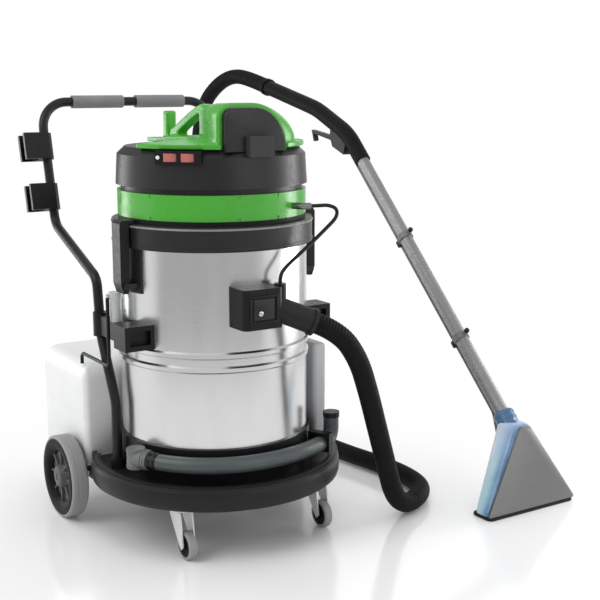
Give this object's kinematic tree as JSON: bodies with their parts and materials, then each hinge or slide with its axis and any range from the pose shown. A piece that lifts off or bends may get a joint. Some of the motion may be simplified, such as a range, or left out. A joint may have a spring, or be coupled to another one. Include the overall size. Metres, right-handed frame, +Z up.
{
  "type": "carpet cleaner",
  "caption": "Wheeled carpet cleaner: steel drum with a lift-off motor head, rear solution tank, push handle, suction hose and a floor wand with a fishtail nozzle.",
  "frame": {"origin": "on the floor, under the centre of the box round everything but the two free hoses", "axes": "+Z up; -Y is the machine's front, where the hose leaves it; +Y is the push handle's side; +X is the side the wand stands on"},
  "size_m": [1.093, 1.5928, 1.0377],
  "materials": {
    "trolley_dark": "satin",
    "axle_steel": "satin",
    "tyre_grey": "matt",
    "wheel_black": "satin",
    "fork_grey": "satin",
    "handle_paint": "semi-gloss powder coat",
    "foam_grip": "matt foam",
    "black_plastic": "satin",
    "drum_steel": "brushed",
    "rim_dark": "satin",
    "green_plastic": "gloss",
    "shell_dark": "satin",
    "tank_white": "semi-gloss",
    "case_grey": "satin",
    "drain_grey": "satin",
    "fitting_grey": "satin",
    "hose_grey": "satin",
    "thin_tube": "satin",
    "bowl_clear": "clear",
    "seal_black": "matt",
    "motor_metal": "cast",
    "float_white": "satin",
    "rocker_red": "gloss",
    "lamp_white": "gloss",
    "wand_steel": "polished",
    "nozzle_blue": "clear blue",
    "plate_metal": "satin",
    "brass_jet": "satin",
    "pipe_grey": "satin"
  },
  "bodies": {
    "machine": {"base_trolley": "trolley_dark", "rear_axle": "axle_steel", "push_handle": "handle_paint", "handle_grips": "foam_grip", "tool_hooks": "black_plastic", "leg_clamps": "black_plastic", "drum_foot": "black_plastic", "drum_shell": "drum_steel", "drum_rim": "rim_dark", "inlet_housing": "black_plastic", "inlet_cuff": "hose_grey", "drain_elbow": "fitting_grey", "drain_hose": "drain_grey", "drain_clip": "black_plastic", "solution_tank": "tank_white", "inline_filter": "bowl_clear", "tank_tube": "thin_tube", "pump_housing": "case_grey", "solution_pump": "motor_metal", "solution_tube": "thin_tube", "suction_hose": "hose_grey", "wand_tube": "wand_steel", "wand_handle": "black_plastic", "valve_body": "black_plastic", "solution_pipe": "pipe_grey", "pipe_clips": "black_plastic", "nozzle_body": "nozzle_blue", "nozzle_plate": "plate_metal", "nozzle_lip": "seal_black", "spray_jet": "brass_jet"},
    "head": {"head_seal": "seal_black", "head_ring": "green_plastic", "motor_cover": "shell_dark", "top_cover": "green_plastic", "dome_panel": "shell_dark", "vent_block": "black_plastic", "switch_bezel": "black_plastic", "pilot_lamp": "lamp_white", "vacuum_motor": "motor_metal", "float_cage": "black_plastic", "quick_coupling": "brass_jet", "cable_gland": "black_plastic"},
    "pump_rocker": {"pump_switch": "rocker_red"},
    "motor_rocker": {"motor_switch": "rocker_red"},
    "impeller": {"fan_impeller": "motor_metal"},
    "float": {"float_ball": "float_white"},
    "left_wheel": {"wheel_left": "wheel_black", "tyre_left": "tyre_grey"},
    "right_wheel": {"wheel_right": "wheel_black", "tyre_right": "tyre_grey"},
    "left_fork": {"caster_fork_left": "fork_grey"},
    "right_fork": {"caster_fork_right": "fork_grey"},
    "left_roller": {"caster_wheel_left": "wheel_black"},
    "right_roller": {"caster_wheel_right": "wheel_black"},
    "left_latch": {"latch_left": "black_plastic"},
    "right_latch": {"latch_right": "black_plastic"},
    "filler_cap": {"tank_cap": "black_plastic"},
    "plug": {"drain_plug": "black_plastic"},
    "trigger_lever": {"trigger": "black_plastic"}
  },
  "joints": [
    {"name": "head_lift", "type": "slide", "parent": "machine", "child": "head", "axis": [0, 0, 1], "range_m": [0, 0.3]},
    {"name": "left_wheel_spin", "type": "hinge", "parent": "machine", "child": "left_wheel", "pos_m": [-0.5255, -0.02932, 0.096], "axis": [1, 0, 0], "continuous": true},
    {"name": "left_caster_swivel", "type": "hinge", "parent": "machine", "child": "left_fork", "pos_m": [-0.406, -0.38632, 0.115], "axis": [0, 0, 1], "continuous": true},
    {"name": "left_caster_spin", "type": "hinge", "parent": "left_fork", "child": "left_roller", "pos_m": [-0.406, -0.41332, 0.031], "axis": [1, 0, 0], "continuous": true},
    {"name": "left_latch_swing", "type": "hinge", "parent": "machine", "child": "left_latch", "pos_m": [-0.4665, -0.25132, 0.573], "axis": [0, -1, 0], "range_deg": [0, 75]},
    {"name": "right_wheel_spin", "type": "hinge", "parent": "machine", "child": "right_wheel", "pos_m": [0.0565, -0.02932, 0.096], "axis": [1, 0, 0], "continuous": true},
    {"name": "right_caster_swivel", "type": "hinge", "parent": "machine", "child": "right_fork", "pos_m": [-0.063, -0.38632, 0.115], "axis": [0, 0, 1], "continuous": true},
    {"name": "right_caster_spin", "type": "hinge", "parent": "right_fork", "child": "right_roller", "pos_m": [-0.063, -0.41332, 0.031], "axis": [1, 0, 0], "continuous": true},
    {"name": "right_latch_swing", "type": "hinge", "parent": "machine", "child": "right_latch", "pos_m": [-0.0025, -0.25132, 0.573], "axis": [0, 1, 0], "range_deg": [0, 75]},
    {"name": "pump_switch_rock", "type": "hinge", "parent": "head", "child": "pump_rocker", "pos_m": [-0.3989, -0.35501, 0.8465], "axis": [0, 0, -1], "range_deg": [0, 20]},
    {"name": "motor_switch_rock", "type": "hinge", "parent": "head", "child": "motor_rocker", "pos_m": [-0.37298, -0.3828, 0.8465], "axis": [0, 0, -1], "range_deg": [0, 20]},
    {"name": "impeller_spin", "type": "hinge", "parent": "head", "child": "impeller", "pos_m": [-0.2345, -0.22632, 0.72], "axis": [0, 0, 1], "continuous": true},
    {"name": "float_rise", "type": "slide", "parent": "head", "child": "float", "axis": [0, 0, 1], "range_m": [0, 0.087]},
    {"name": "filler_cap_lift", "type": "slide", "parent": "machine", "child": "filler_cap", "axis": [0, 0, 1], "range_m": [0, 0.06]},
    {"name": "drain_plug_pull", "type": "slide", "parent": "machine", "child": "plug", "axis": [0, 0, 1], "range_m": [0, 0.05]},
    {"name": "trigger_pull", "type": "hinge", "parent": "machine", "child": "trigger_lever", "pos_m": [0.4085, 0.21068, 0.83796], "axis": [1, 0, 0], "range_deg": [0, 12], "stiffness_Nm_per_rad": 0.6, "springref_deg": -20.05}
  ]
}
